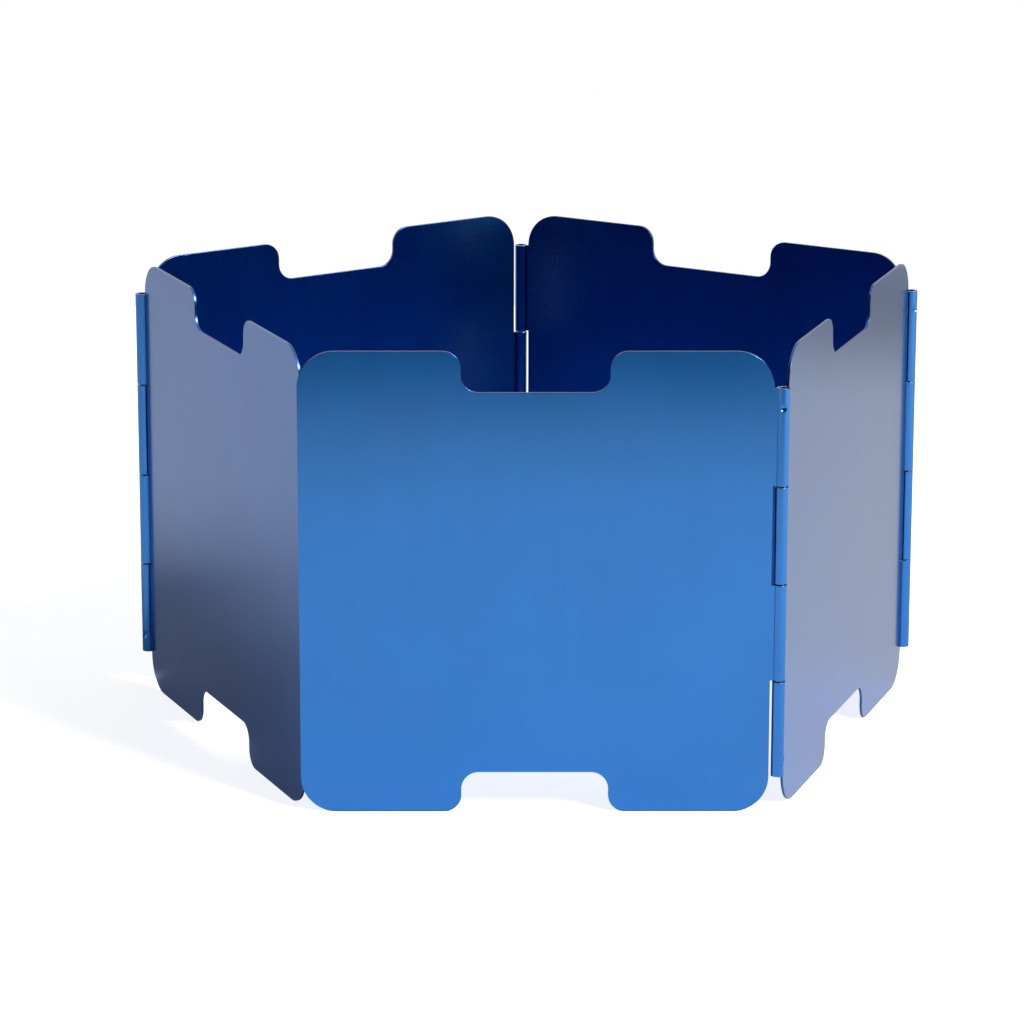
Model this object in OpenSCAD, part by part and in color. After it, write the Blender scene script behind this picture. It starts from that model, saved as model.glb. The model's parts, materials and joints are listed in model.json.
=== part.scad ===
// Folding stove windscreen: five square sheet panels joined edge to edge by
// four pinned hinges, standing as a closed ring round a camp stove.

/* [Panels] */
// Height of a panel
panel_height = 130; // [110:1:180]
// Width of a panel between its two side edges, without the knuckles
panel_width = 128.6; // [110:0.2:180]
// Thickness of the sheet
sheet_thickness = 0.7; // [0.5:0.05:0.9]
// Radius of a panel's outer corners
corner_radius = 10; // [5:0.5:12]

/* [Vent notches] */
// Width of a notch between its walls
notch_width = 40.4; // [30:0.2:70]
// Depth of a notch below the panel's edge
notch_depth = 11.4; // [8:0.2:20]
// Radius where a notch's floor meets its walls
notch_floor_radius = 4.8; // [2:0.2:5]
// Radius where a notch's walls meet the panel's edge
notch_mouth_radius = 4.8; // [2:0.2:5]

/* [Hinges] */
// Diameter of a hinge pin
pin_diameter = 2.2; // [1.8:0.1:3]
// Radial clearance between a pin and the knuckles rolled round it
pin_clearance = 0.05; // [0.02:0.01:0.1]
// Number of knuckles along a hinge, shared in turn by its two panels
knuckle_count = 4; // [4:2:8]
// Gap along the pin between one knuckle and the next
knuckle_gap = 0.4; // [0.3:0.05:0.8]
// Distance from a hinge's ends to the panel's top and bottom edges
hinge_margin = 10; // [8:0.5:16]
// Gap between a panel's side edge and the other panel's knuckles
edge_gap = 0.65; // [0.5:0.05:1.5]
// Radius, at mid-sheet, of the neck that lifts the sheet on to the roll
neck_radius = 0.6; // [0.55:0.05:0.9]
// Gap at the seam where the roll comes round to the sheet again
seam_gap = 0.2; // [0.15:0.05:0.4]
// Gap between the faces of two panels that are folded together
fold_gap = 0.3; // [0.2:0.05:0.8]

/* [Pin stakes] */
// Distance from a hinge's end to the middle of the dimple that keeps the pin in
stake_inset = 5.5; // [4:0.25:7]
// Depth to which the dimple is pressed into the knuckle
stake_depth = 0.5; // [0.3:0.05:0.6]
// Radius of the punch that pressed it
stake_punch_radius = 1.5; // [1.1:0.05:1.8]
// Turn of the dimple round the roll, from the panel's plane, on a hinge that folds inwards
inward_stake_turn = 90; // [60:5:120]
// Turn of the dimple round the roll, from the panel's plane, on a hinge that folds outwards
outward_stake_turn = -20; // [-40:5:90]
// End play of a pin between its two dimples, at each end
pin_end_play = 0.3; // [0.2:0.05:0.6]
// Chamfer on a pin's ends
pin_chamfer = 0.25; // [0.1:0.05:0.4]

/* [Standing shape] */
// Bend at the hinge between the front and right panels
front_right_bend = 70.5; // [66:0.1:76]
// Bend at the open corner between the left and front panels
front_left_bend = 66.9; // [66:0.1:76]
// Gap between the left panel's free edge and the back of the front panel
free_edge_gap = 0.8; // [0.5:0.1:4]
// How far the left panel's free edge lies in from the front panel's free edge
free_edge_overlap = 1.1; // [0:0.1:3]

/* [Hidden] */
$fn = 64;
SHEET_COLOUR = [0.10, 0.34, 0.66];
PIN_COLOUR = [0.70, 0.71, 0.73];

// The way a hinge's axis lies from the sheets that it joins
INSIDE = 1;
OUTSIDE = -1;
// The end of a panel that a hinge is on, walking round the ring from the front
NEAR_END = -1;
FAR_END = 1;
// The knuckles that a panel owns, counted up from the bottom of the hinge
EVEN_KNUCKLES = 0;
ODD_KNUCKLES = 1;

// Roll: the sheet wraps the pin, whose axis lies just far enough off the sheet
// for two panels to fold face to face
bore_radius = pin_diameter / 2 + pin_clearance;
roll_radius = bore_radius + sheet_thickness;
mid_radius = bore_radius + sheet_thickness / 2;
axis_offset = (sheet_thickness + fold_gap) / 2;
hinge_reach = roll_radius + edge_gap;
hinge_pitch = panel_width + 2 * hinge_reach;

// Neck: an arc tangent to the sheet, at its height off the axis, and to the roll
function neck_centre(sheet_y) =
    let (y = sheet_y + neck_radius)
    [-sqrt(pow(mid_radius + neck_radius, 2) - pow(y, 2)), y];
function neck_turn(sheet_y) = atan2(-neck_centre(sheet_y)[0], neck_centre(sheet_y)[1]);
function seam_angle(sheet_y) = -180 - asin((sheet_y - sheet_thickness / 2 - seam_gap) / roll_radius);
neck_lap = 20;
root_overlap = 2;
wedge_reach = 4 * roll_radius;

// Knuckle stack
stack_height = panel_height - 2 * hinge_margin;
knuckle_pitch = stack_height / knuckle_count;

// Stakes: dent and bump are concentric, so the wall keeps its thickness
punch_centre = roll_radius - stake_depth + stake_punch_radius;
bump_radius = stake_punch_radius + sheet_thickness;
bump_reach = sqrt(pow(bump_radius, 2) - pow(punch_centre - bore_radius, 2));
pin_length = stack_height - 2 * (stake_inset + bump_reach + pin_end_play);

// Notch radii, held to what the depth of the wall can carry
notch_radius_sum = notch_floor_radius + notch_mouth_radius;
notch_radius_share = min(1, notch_depth / notch_radius_sum);
floor_radius = notch_floor_radius * notch_radius_share;
mouth_radius = notch_mouth_radius * notch_radius_share;
cut_past = 2;

// Plan of the ring: +X along the front panel, +Y from it to the rear
function along(heading) = [cos(heading), sin(heading)];
function outward(heading) = [sin(heading), -cos(heading)];
function heading_of(v) = atan2(v[1], v[0]);

front_heading = 0;
right_heading = front_right_bend;
left_heading = -front_left_bend;

// Hinge axes reached from the front panel and from its open corner
axis_front_right = [panel_width / 2 + hinge_reach, axis_offset];
axis_right_rear = axis_front_right
    + hinge_pitch * along(right_heading)
    + 2 * axis_offset * outward(right_heading);
free_edge = [
    free_edge_overlap - panel_width / 2,
    free_edge_gap + sheet_thickness / 2 * (1 + cos(front_left_bend))
];
axis_left_rear = free_edge
    - (panel_width + hinge_reach) * along(left_heading)
    + axis_offset * outward(left_heading);

// The rear hinge closes the ring: it is equally far from its two neighbours
rear_span = axis_left_rear - axis_right_rear;
axis_distance = norm([hinge_pitch, 2 * axis_offset]);
rear_rise = sqrt(pow(axis_distance, 2) - pow(norm(rear_span) / 2, 2));
axis_rear = (axis_left_rear + axis_right_rear) / 2
    + rear_rise * outward(heading_of(rear_span));
offset_turn = atan2(2 * axis_offset, hinge_pitch);
rear_right_heading = heading_of(axis_rear - axis_right_rear) - offset_turn;
rear_left_heading = heading_of(axis_left_rear - axis_rear) + offset_turn;

// Middle of each panel's sheet in plan
front_centre = [0, 0];
right_centre = axis_front_right
    + axis_offset * outward(right_heading)
    + hinge_pitch / 2 * along(right_heading);
rear_right_centre = axis_right_rear
    - axis_offset * outward(rear_right_heading)
    + hinge_pitch / 2 * along(rear_right_heading);
rear_left_centre = axis_rear
    + axis_offset * outward(rear_left_heading)
    + hinge_pitch / 2 * along(rear_left_heading);
left_centre = free_edge - panel_width / 2 * along(left_heading);

// The origin is under the middle of the ring's plan, whose sides are the rolls
ring_centre = [
    (axis_left_rear[0] + axis_right_rear[0]) / 2,
    (axis_front_right[1] + axis_rear[1]) / 2
];

// What a round of the given radius leaves in a square corner at the origin
module corner_waste(radius) {
    difference() {
        translate([-cut_past, -cut_past]) square(radius + cut_past);
        translate([radius, radius]) circle(radius);
    }
}

module mirrored(axis, on) {
    if (on) mirror(axis) children();
    else children();
}

module both_sides() {
    children();
    mirror([1, 0]) children();
}

// Vent notch cut down from y = 0, with a rounded floor and a rounded mouth
module notch() {
    difference() {
        translate([-notch_width / 2, -notch_depth]) square([notch_width, notch_depth + cut_past]);
        both_sides() translate([-notch_width / 2, -notch_depth]) corner_waste(floor_radius);
    }
    both_sides() translate([notch_width / 2, 0]) mirror([0, 1]) corner_waste(mouth_radius);
}

// Flat blank of a panel, drawn upright about its middle
module blank() {
    difference() {
        translate([-panel_width / 2, -panel_height / 2]) square([panel_width, panel_height]);
        for (lower = [false, true]) mirrored([0, 1], lower) {
            translate([0, panel_height / 2]) notch();
            both_sides()
                translate([panel_width / 2, panel_height / 2]) rotate(180) corner_waste(corner_radius);
        }
    }
}

module sheet() {
    translate([0, 0, panel_height / 2]) rotate([90, 0, 0])
        linear_extrude(sheet_thickness, center = true) blank();
}

// Sector of a ring of sheet about the origin
module sheet_arc(middle_radius, start, turn) {
    half_turn = turn / 2;
    difference() {
        intersection() {
            circle(middle_radius + sheet_thickness / 2);
            if (turn < 180) wedge(start, turn);
            else union() {
                wedge(start, half_turn);
                wedge(start + half_turn, half_turn);
            }
        }
        circle(middle_radius - sheet_thickness / 2);
    }
}

module wedge(start, turn) {
    polygon([
        [0, 0],
        wedge_reach * along(start),
        wedge_reach / cos(turn / 4) * along(start + turn / 4),
        wedge_reach / cos(turn / 4) * along(start + 3 * turn / 4),
        wedge_reach * along(start + turn)
    ]);
}

// Knuckle in section, seen along the pin: the sheet comes in from -X, is
// lifted by the neck and goes over and round the pin to the seam
module knuckle_section(sheet_y) {
    root_x = -hinge_reach - root_overlap;
    roll_start = 90 + neck_turn(sheet_y);
    translate([root_x, sheet_y - sheet_thickness / 2])
        square([neck_centre(sheet_y)[0] - root_x, sheet_thickness]);
    neck_section(sheet_y, roll_start);
    sheet_arc(mid_radius, seam_angle(sheet_y), roll_start - seam_angle(sheet_y));
}

// Neck between the sheet and the roll. Its arc runs on a little into both, and
// is trimmed there to the sheet's face and to the outside of the roll.
module neck_section(sheet_y, roll_start) {
    centre = neck_centre(sheet_y);
    difference() {
        translate(centre) sheet_arc(neck_radius, -90 - neck_lap, neck_turn(sheet_y) + 2 * neck_lap);
        translate([centre[0] - wedge_reach, sheet_y + sheet_thickness / 2]) square(wedge_reach);
        difference() {
            wedge(roll_start - 90, 90);
            circle(roll_radius);
        }
    }
}

// Sphere of the stake's punch, or of the bump that it raises in the bore
module stake_ball(angle, z, radius) {
    translate([punch_centre * cos(angle), punch_centre * sin(angle), z]) sphere(radius);
}

// One knuckle between two heights, with a stake at stake_z if it has one
module knuckle(sheet_y, bottom, top, stake_z, stake_angle) {
    staked = stake_z != undef;
    difference() {
        union() {
            translate([0, 0, bottom]) linear_extrude(top - bottom) knuckle_section(sheet_y);
            if (staked) intersection() {
                stake_ball(stake_angle, stake_z, bump_radius);
                translate([0, 0, bottom]) cylinder(r = mid_radius, h = top - bottom);
            }
        }
        if (staked) stake_ball(stake_angle, stake_z, stake_punch_radius);
    }
}

// The knuckles that a panel owns along one of its side edges, which go over the
// pin on the outside. The stakes are in the top and bottom knuckles of the stack.
module hinge_edge(end, axis_side, owned) {
    stake_turn = axis_side == INSIDE ? inward_stake_turn : outward_stake_turn;
    translate([end * hinge_pitch / 2, axis_side * axis_offset, hinge_margin])
        mirrored([1, 0, 0], end == NEAR_END)
        mirror([0, 1, 0])
        for (i = [owned : 2 : knuckle_count - 1]) {
            bottom = i * knuckle_pitch + knuckle_gap / 2;
            top = (i + 1) * knuckle_pitch - knuckle_gap / 2;
            stake_z = i == 0 ? stake_inset
                : i == knuckle_count - 1 ? stack_height - stake_inset
                : undef;
            knuckle(axis_side * axis_offset, bottom, top, stake_z, stake_turn);
        }
}

// Panel in place: its sheet, with the hinge edges given as children
module panel(centre, heading) {
    color(SHEET_COLOUR)
        translate([centre[0] - ring_centre[0], centre[1] - ring_centre[1], 0])
        rotate([0, 0, heading])
        union() {
            sheet();
            children();
        }
}

module front_panel() {
    panel(front_centre, front_heading)
        hinge_edge(FAR_END, INSIDE, ODD_KNUCKLES);
}

module right_panel() {
    panel(right_centre, right_heading) {
        hinge_edge(NEAR_END, INSIDE, EVEN_KNUCKLES);
        hinge_edge(FAR_END, OUTSIDE, EVEN_KNUCKLES);
    }
}

module rear_right_panel() {
    panel(rear_right_centre, rear_right_heading) {
        hinge_edge(NEAR_END, OUTSIDE, ODD_KNUCKLES);
        hinge_edge(FAR_END, INSIDE, ODD_KNUCKLES);
    }
}

module rear_left_panel() {
    panel(rear_left_centre, rear_left_heading) {
        hinge_edge(NEAR_END, INSIDE, EVEN_KNUCKLES);
        hinge_edge(FAR_END, OUTSIDE, EVEN_KNUCKLES);
    }
}

module left_panel() {
    panel(left_centre, left_heading)
        hinge_edge(NEAR_END, OUTSIDE, ODD_KNUCKLES);
}

// Hinge pin, trapped between the stakes at the two ends of its hinge
module pin(axis) {
    radius = pin_diameter / 2;
    color(PIN_COLOUR)
        translate([axis[0] - ring_centre[0], axis[1] - ring_centre[1], (panel_height - pin_length) / 2])
        rotate_extrude()
        polygon([
            [0, 0],
            [radius - pin_chamfer, 0],
            [radius, pin_chamfer],
            [radius, pin_length - pin_chamfer],
            [radius - pin_chamfer, pin_length],
            [0, pin_length]
        ]);
}

module front_right_pin() {
    pin(axis_front_right);
}

module right_rear_pin() {
    pin(axis_right_rear);
}

module rear_pin() {
    pin(axis_rear);
}

module left_rear_pin() {
    pin(axis_left_rear);
}

front_panel();
right_panel();
rear_right_panel();
rear_left_panel();
left_panel();
front_right_pin();
right_rear_pin();
rear_pin();
left_rear_pin();
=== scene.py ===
"""Looks of a folding stove windscreen: satin blue anodised sheet on wire pins, in soft light."""
import json
import math

import bpy
from mathutils import Matrix, Vector

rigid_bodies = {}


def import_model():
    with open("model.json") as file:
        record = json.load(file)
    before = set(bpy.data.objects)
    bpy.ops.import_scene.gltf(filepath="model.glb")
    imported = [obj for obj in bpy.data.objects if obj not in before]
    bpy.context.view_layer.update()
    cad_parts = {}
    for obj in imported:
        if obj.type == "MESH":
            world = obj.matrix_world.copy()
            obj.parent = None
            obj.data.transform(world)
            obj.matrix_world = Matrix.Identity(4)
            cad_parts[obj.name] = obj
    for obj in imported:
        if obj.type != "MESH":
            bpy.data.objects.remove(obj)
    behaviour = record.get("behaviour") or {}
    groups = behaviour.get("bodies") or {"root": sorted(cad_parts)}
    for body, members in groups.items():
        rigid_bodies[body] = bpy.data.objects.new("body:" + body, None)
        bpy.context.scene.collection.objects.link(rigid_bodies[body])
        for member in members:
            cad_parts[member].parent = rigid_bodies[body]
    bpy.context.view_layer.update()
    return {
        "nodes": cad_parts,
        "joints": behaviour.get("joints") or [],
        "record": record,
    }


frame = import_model()

# Camera of the photograph, in metres and degrees in the part's frame
IMAGE_WIDTH_PX = 1024
FOCAL_LENGTH_PX = 4518.5
SENSOR_WIDTH_MM = 36.0
CAMERA_PLACE = Vector((-0.0100, -1.2808, 0.3987))
CAMERA_YAW = 0.245
CAMERA_PITCH = 14.83
CAMERA_ROLL = 0.055
CAMERA_FAR = 50

# Noise in every metal
NOISE_DETAIL = 3.0
NOISE_ROUGHNESS = 0.5

# Sheet metal: colours and gloss
SHEET_BLUE = (0.004, 0.154, 0.495, 1)
SHEET_BLUE_PALE = (0.005, 0.164, 0.525, 1)
SHEET_GRAZING = (0.36, 0.33, 0.29, 1)
SHEET_ROUGHNESS = (0.22, 0.245)
COAT_IOR = 1.47
COAT_ROUGHNESS = 0.14

# Sheet metal: cut edges, with painted shade that darkens them, and the rolls that are left out of
# them
# A spot is edge below the first cosine to the sheet's own facing, and face above the second
# Painted shade: the cut edges get a darker blue and a darker grazing tint than the sheet
EDGE_BLUE_PAINTED_SHADE = (0.004, 0.07, 0.24, 1)
EDGE_GRAZING_PAINTED_SHADE = (0.1, 0.15, 0.23, 1)
EDGE_COSINE = (0.45, 0.9)
EDGE_HAZE = 0.12
EDGE_ROUND = 0.00022
EDGE_ROUND_SAMPLES = 6
ROLL_REACH = 0.0021
ROLL_FADE = 0.0002

# Sheet metal: grain, clouds, and painted shade in crevices
GRAIN_STRETCH = (1.0, 1.0, 0.05)
GRAIN_SCALE = 260
GRAIN_SHARE = 0.6
CLOUD_SCALE = 38
CLOUD_SPAN = (0.35, 0.65)
HAZE_SPAN = (0.3, 0.7)
CREVICE_REACH = 0.0012
CREVICE_SPAN = (0.35, 0.85)
CREVICE_PAINTED_SHADE = 0.5
CREVICE_SAMPLES = 8

# Hinge pins
PIN_STEEL = (0.52, 0.53, 0.55, 1)
PIN_STEEL_DARK = (0.38, 0.39, 0.41, 1)
PIN_ROUGHNESS = (0.22, 0.42)
PIN_LINE_STRETCH = (1.0, 1.0, 0.02)
PIN_LINE_SCALE = 9000
PIN_LINE_SPAN = (0.3, 0.7)
PIN_LINE_STRENGTH = 0.2
PIN_LINE_DEPTH = 0.00001

# Studio: floor, dark room in front of it, and glow, in metres
FLOOR_SIDE = 12.0
FLOOR_FRONT = -0.585
FLOOR_BACK = 0.56
FLOOR_WHITE = (0.87, 0.87, 0.87, 1)
# Painted shade on the floor: its colour darkens from white to grey towards the back right
FLOOR_PAINTED_SHADE = (0.4, 0.4, 0.4, 1)
FLOOR_PAINTED_SHADE_WAY = (0.5, 1, 0)
FLOOR_PAINTED_SHADE_REACH = (0.47, 0.68)
FLOOR_LIFT = 0.78
FLOOR_LIFT_MIRRORED = 0.08
ROOM_DARK = (0.02, 0.02, 0.02, 1)
ROOM_GROUND = -0.01
ROOM_WALL = -1.6
ROOM_HEIGHT = 3.5
WORLD_AMBIENT = 0.24
WHITE = (1, 1, 1, 1)

# Studio: lamps
KEY_PLACE = Vector((1.40, -1.10, 1.50))
KEY_TARGET = Vector((0, 0, 0))
KEY_SIDE = 0.9
KEY_WATTS = 80.0
FILL_PLACE = Vector((-0.50, 0.42, 0.32))
FILL_TARGET = Vector((-0.35, 0.27, 0))
FILL_SIDE = 0.3
FILL_WATTS = 0.30


def add_node(tree, kind, **settings):
    node = tree.nodes.new(kind)
    for key, value in settings.items():
        setattr(node, key, value)
    return node


def feed(tree, socket, value):
    """Sets a socket to a plain value, or links it to another socket."""
    if isinstance(value, bpy.types.NodeSocket):
        tree.links.new(value, socket)
    else:
        socket.default_value = value


def math_node(tree, operation, *values):
    node = add_node(tree, "ShaderNodeMath", operation=operation)
    for socket, value in zip(node.inputs, values):
        feed(tree, socket, value)
    return node.outputs[0]


def vector_node(tree, operation, *values):
    node = add_node(tree, "ShaderNodeVectorMath", operation=operation)
    sockets = [socket for socket in node.inputs if socket.enabled]
    for socket, value in zip(sockets, values):
        feed(tree, socket, value)
    scalar = operation in ("DOT_PRODUCT", "DISTANCE")
    return node.outputs["Value" if scalar else "Vector"]


def ramp(tree, value, low, high, to_low=0.0, to_high=1.0):
    """Smooth step of value from low..high on to to_low..to_high."""
    node = add_node(tree, "ShaderNodeMapRange", interpolation_type="SMOOTHSTEP")
    feed(tree, node.inputs["Value"], value)
    feed(tree, node.inputs["From Min"], low)
    feed(tree, node.inputs["From Max"], high)
    feed(tree, node.inputs["To Min"], to_low)
    feed(tree, node.inputs["To Max"], to_high)
    return node.outputs["Result"]


def mix_colour(tree, factor, first, second):
    """Mix of two colours. The node has other sockets of the same names, so these go by number."""
    node = add_node(tree, "ShaderNodeMix", data_type="RGBA")
    feed(tree, node.inputs[0], factor)
    feed(tree, node.inputs[6], first)
    feed(tree, node.inputs[7], second)
    return node.outputs[2]


def noise(tree, vector, scale):
    node = add_node(tree, "ShaderNodeTexNoise")
    feed(tree, node.inputs["Vector"], vector)
    node.inputs["Scale"].default_value = scale
    node.inputs["Detail"].default_value = NOISE_DETAIL
    node.inputs["Roughness"].default_value = NOISE_ROUGHNESS
    return node.outputs["Fac"]


def bump(tree, height, strength, distance):
    node = add_node(tree, "ShaderNodeBump")
    feed(tree, node.inputs["Height"], height)
    node.inputs["Strength"].default_value = strength
    node.inputs["Distance"].default_value = distance
    return node.outputs["Normal"]


def new_material(name):
    material = bpy.data.materials.new(name)
    material.use_nodes = True
    tree = material.node_tree
    return material, tree, tree.nodes["Principled BSDF"]


def face_normal(node_name):
    """Direction that a panel's sheet faces: the normal of its largest flat face."""
    polygons = frame["nodes"][node_name].data.polygons
    return max(polygons, key=lambda polygon: polygon.area).normal.copy()


def hinge_axes(body):
    """Places of the hinges on a body, in plan."""
    return [
        Vector((joint["pos_m"][0], joint["pos_m"][1], 0))
        for joint in frame["joints"]
        if body in (joint["parent"], joint["child"])
    ]


def edge_mask(tree, coordinates, node_name, body):
    """One on the cut edges, which turn away from the sheet's face. Nought on face and rolls."""
    normal = coordinates.outputs["Normal"]
    facing = vector_node(tree, "DOT_PRODUCT", normal, face_normal(node_name))
    edge = ramp(tree, math_node(tree, "ABSOLUTE", facing), *EDGE_COSINE, 1.0, 0.0)
    plan = vector_node(tree, "MULTIPLY", coordinates.outputs["Object"], (1, 1, 0))
    for axis in hinge_axes(body):
        distance = vector_node(tree, "DISTANCE", plan, axis)
        clear = ramp(tree, distance, ROLL_REACH, ROLL_REACH + ROLL_FADE)
        edge = math_node(tree, "MULTIPLY", edge, clear)
    return edge


def crevice_painted_shade(tree):
    """Painted shade: darker base colour in the narrow gaps beside the rolls and between the
    knuckles.
    """
    nearby = add_node(tree, "ShaderNodeAmbientOcclusion", samples=CREVICE_SAMPLES)
    nearby.inputs["Distance"].default_value = CREVICE_REACH
    return ramp(tree, nearby.outputs["AO"], *CREVICE_SPAN, CREVICE_PAINTED_SHADE, 1.0)


def anodised_sheet(node_name, body):
    """Satin blue anodised sheet with cut edges darkened by painted shade, and a soft grain that
    runs up the sheet.
    """
    material, tree, shader = new_material("anodised_" + node_name)
    coordinates = add_node(tree, "ShaderNodeTexCoord")
    place = coordinates.outputs["Object"]
    edge = edge_mask(tree, coordinates, node_name, body)
    grain = noise(tree, vector_node(tree, "MULTIPLY", place, GRAIN_STRETCH), GRAIN_SCALE)
    cloud = noise(tree, place, CLOUD_SCALE)

    pale = ramp(tree, cloud, *CLOUD_SPAN)
    blue = mix_colour(tree, pale, SHEET_BLUE, SHEET_BLUE_PALE)
    # Painted shade: the cut edges get a darker blue
    blue = mix_colour(tree, edge, blue, EDGE_BLUE_PAINTED_SHADE)
    # Painted shade from the crevices, and on the cut edges, darkens the base colour
    blue_with_painted_shade = vector_node(tree, "SCALE", blue, crevice_painted_shade(tree))
    feed(tree, shader.inputs["Base Color"], blue_with_painted_shade)

    from_grain = math_node(tree, "MULTIPLY", grain, GRAIN_SHARE)
    from_cloud = math_node(tree, "MULTIPLY", cloud, 1 - GRAIN_SHARE)
    haze = math_node(tree, "ADD", from_grain, from_cloud)
    roughness = ramp(tree, haze, *HAZE_SPAN, *SHEET_ROUGHNESS)
    edge_haze = math_node(tree, "MULTIPLY", edge, EDGE_HAZE)
    feed(tree, shader.inputs["Roughness"], math_node(tree, "ADD", roughness, edge_haze))
    coat_roughness = math_node(tree, "ADD", edge_haze, COAT_ROUGHNESS)
    feed(tree, shader.inputs["Coat Roughness"], coat_roughness)

    rounded = add_node(tree, "ShaderNodeBevel", samples=EDGE_ROUND_SAMPLES)
    rounded.inputs["Radius"].default_value = EDGE_ROUND
    feed(tree, shader.inputs["Normal"], rounded.outputs["Normal"])
    feed(tree, shader.inputs["Coat Normal"], rounded.outputs["Normal"])
    # Painted shade: the cut edges get a darker grazing tint
    grazing = mix_colour(tree, edge, SHEET_GRAZING, EDGE_GRAZING_PAINTED_SHADE)
    feed(tree, shader.inputs["Specular Tint"], grazing)
    shader.inputs["Metallic"].default_value = 1.0
    shader.inputs["Coat Weight"].default_value = 1.0
    shader.inputs["Coat IOR"].default_value = COAT_IOR
    return material


def drawn_steel():
    """Steel wire with the fine lines that drawing leaves along it."""
    material, tree, shader = new_material("drawn_steel")
    place = add_node(tree, "ShaderNodeTexCoord").outputs["Object"]
    lines = noise(tree, vector_node(tree, "MULTIPLY", place, PIN_LINE_STRETCH), PIN_LINE_SCALE)
    steel = mix_colour(tree, lines, PIN_STEEL_DARK, PIN_STEEL)
    feed(tree, shader.inputs["Base Color"], steel)
    roughness = ramp(tree, lines, *PIN_LINE_SPAN, *PIN_ROUGHNESS)
    feed(tree, shader.inputs["Roughness"], roughness)
    normal = bump(tree, lines, PIN_LINE_STRENGTH, PIN_LINE_DEPTH)
    feed(tree, shader.inputs["Normal"], normal)
    shader.inputs["Metallic"].default_value = 1.0
    return material


def paint(node_name, material):
    for slot in frame["nodes"][node_name].material_slots:
        slot.material = material


def finish_parts():
    steel = drawn_steel()
    for body, members in frame["record"]["behaviour"]["bodies"].items():
        for node_name in members:
            if node_name.endswith("_panel"):
                paint(node_name, anodised_sheet(node_name, body))
            else:
                paint(node_name, steel)


def make_camera():
    yaw = math.radians(CAMERA_YAW)
    pitch = math.radians(CAMERA_PITCH)
    roll = math.radians(CAMERA_ROLL)
    ahead = Vector((
        math.sin(yaw) * math.cos(pitch),
        math.cos(yaw) * math.cos(pitch),
        -math.sin(pitch),
    ))
    level = Vector((math.cos(yaw), -math.sin(yaw), 0))
    upright = level.cross(ahead)
    right = math.cos(roll) * level + math.sin(roll) * upright
    up = math.cos(roll) * upright - math.sin(roll) * level
    data = bpy.data.cameras.new("camera")
    data.sensor_width = SENSOR_WIDTH_MM
    data.lens = FOCAL_LENGTH_PX / IMAGE_WIDTH_PX * SENSOR_WIDTH_MM
    data.clip_end = CAMERA_FAR
    camera = bpy.data.objects.new("camera", data)
    turn = Matrix((right, up, -ahead)).transposed()
    camera.matrix_world = Matrix.Translation(CAMERA_PLACE) @ turn.to_4x4()
    bpy.context.scene.collection.objects.link(camera)
    bpy.context.scene.camera = camera


def matte_material(name, colour):
    material, tree, shader = new_material(name)
    shader.inputs["Base Color"].default_value = colour
    shader.inputs["Roughness"].default_value = 1.0
    shader.inputs["Specular IOR Level"].default_value = 0.0
    return material, tree, shader


def stage_card(name, corners, material):
    mesh = bpy.data.meshes.new(name)
    mesh.from_pydata(corners, [], [(0, 1, 2, 3)])
    mesh.materials.append(material)
    card = bpy.data.objects.new(name, mesh)
    bpy.context.scene.collection.objects.link(card)
    return card


def level_corners(front, back, height):
    """Corners of a level card as wide as the floor."""
    half = FLOOR_SIDE / 2
    return [
        (-half, front, height),
        (half, front, height),
        (half, back, height),
        (-half, back, height),
    ]


def upright_corners(distance, foot, top):
    """Corners of an upright card as wide as the floor."""
    half = FLOOR_SIDE / 2
    return [
        (-half, distance, foot),
        (half, distance, foot),
        (half, distance, top),
        (-half, distance, top),
    ]


def mirrored_ray(tree, rays):
    glossy = rays.outputs["Is Glossy Ray"]
    return math_node(tree, "MAXIMUM", glossy, rays.outputs["Is Transmission Ray"])


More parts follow.
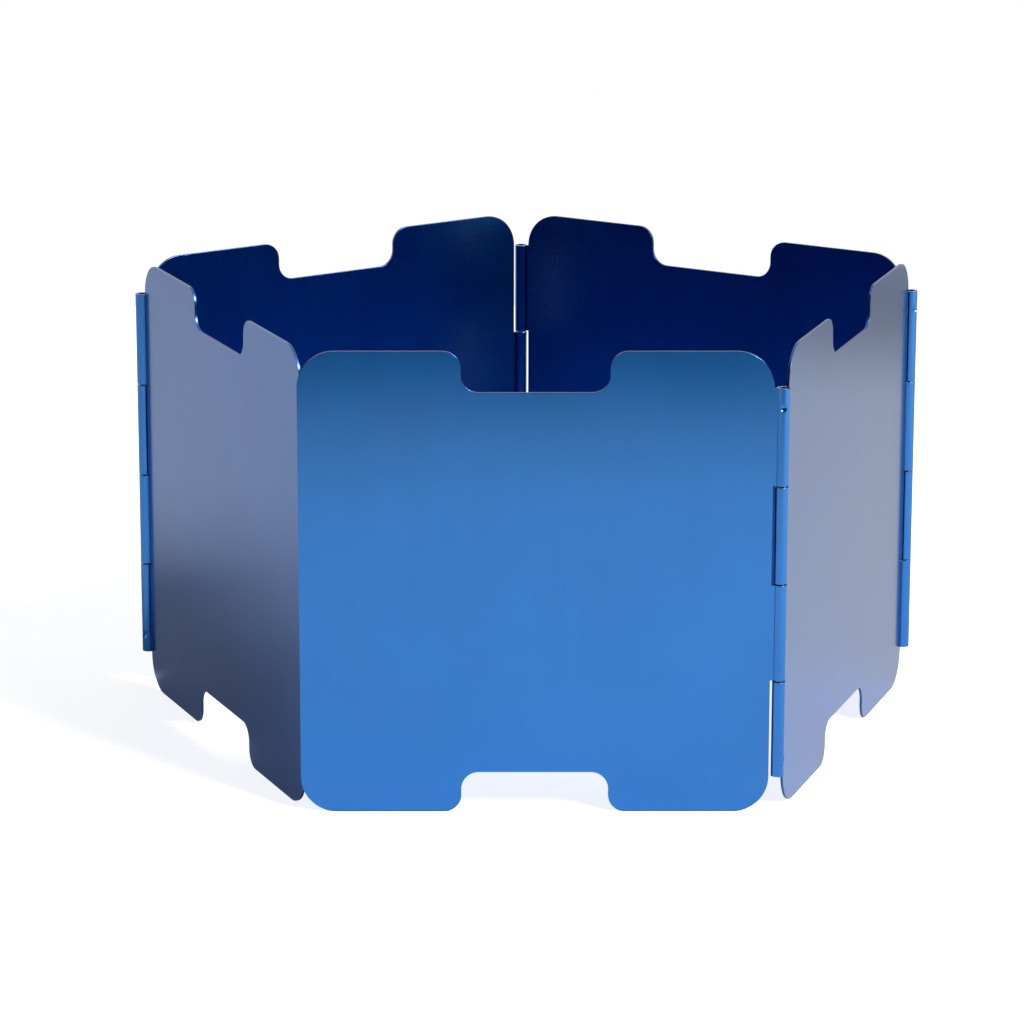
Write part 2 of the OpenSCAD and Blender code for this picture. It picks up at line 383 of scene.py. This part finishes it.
def make_floor():
    """Pale floor that keeps the shadow and darkens to the back right in painted shade, lifted to
    white for the camera.

    Where the metal mirrors it, it is lifted a little only, so that the metal shows the shadow.
    """
    material, tree, shader = matte_material("pale_floor", FLOOR_WHITE)
    place = add_node(tree, "ShaderNodeTexCoord").outputs["Object"]
    # Painted shade: the floor's colour darkens towards the back right
    away = vector_node(tree, "DOT_PRODUCT", place, FLOOR_PAINTED_SHADE_WAY)
    floor_painted_shade = ramp(tree, away, *FLOOR_PAINTED_SHADE_REACH)
    feed(tree, shader.inputs["Base Color"], mix_colour(tree, floor_painted_shade, FLOOR_WHITE, FLOOR_PAINTED_SHADE))
    rays = add_node(tree, "ShaderNodeLightPath")
    to_camera = math_node(tree, "MULTIPLY", rays.outputs["Is Camera Ray"], FLOOR_LIFT)
    to_mirror = math_node(tree, "MULTIPLY", mirrored_ray(tree, rays), FLOOR_LIFT_MIRRORED)
    lift = math_node(tree, "ADD", to_camera, to_mirror)
    shader.inputs["Emission Color"].default_value = WHITE
    feed(tree, shader.inputs["Emission Strength"], lift)
    stage_card("floor", level_corners(FLOOR_FRONT, FLOOR_BACK, 0), material)


def make_room():
    """Dark ground in front of the floor and a dark wall behind the camera.

    The metal in the photograph mirrors such a room. No view shows it directly.
    """
    material = matte_material("dark_room", ROOM_DARK)[0]
    ground = level_corners(-FLOOR_SIDE / 2, FLOOR_FRONT, ROOM_GROUND)
    wall = upright_corners(ROOM_WALL, ROOM_GROUND, ROOM_HEIGHT)
    for name, corners in (("room_ground", ground), ("room_wall", wall)):
        stage_card(name, corners, material).visible_camera = False


def make_world():
    """White to the camera and to what the metal mirrors, and an even glow to the floor."""
    world = bpy.data.worlds.new("studio")
    world.use_nodes = True
    bpy.context.scene.world = world
    tree = world.node_tree
    background = tree.nodes["Background"]
    rays = add_node(tree, "ShaderNodeLightPath")
    camera_ray = rays.outputs["Is Camera Ray"]
    seen = math_node(tree, "MAXIMUM", camera_ray, mirrored_ray(tree, rays))
    strength = math_node(tree, "MAXIMUM", seen, WORLD_AMBIENT)
    background.inputs["Color"].default_value = WHITE
    feed(tree, background.inputs["Strength"], strength)


def softbox(name, place, target, side, watts):
    data = bpy.data.lights.new(name, "AREA")
    data.shape = "SQUARE"
    data.size = side
    data.energy = watts
    lamp = bpy.data.objects.new(name, data)
    lamp.location = place
    lamp.rotation_euler = (target - place).to_track_quat("-Z", "Y").to_euler()
    lamp.visible_camera = False
    bpy.context.scene.collection.objects.link(lamp)


def make_lights():
    softbox("key", KEY_PLACE, KEY_TARGET, KEY_SIDE, KEY_WATTS)
    softbox("fill", FILL_PLACE, FILL_TARGET, FILL_SIDE, FILL_WATTS)


finish_parts()
make_camera()
make_floor()
make_room()
make_world()
make_lights()
bpy.context.scene.view_settings.view_transform = "Standard"
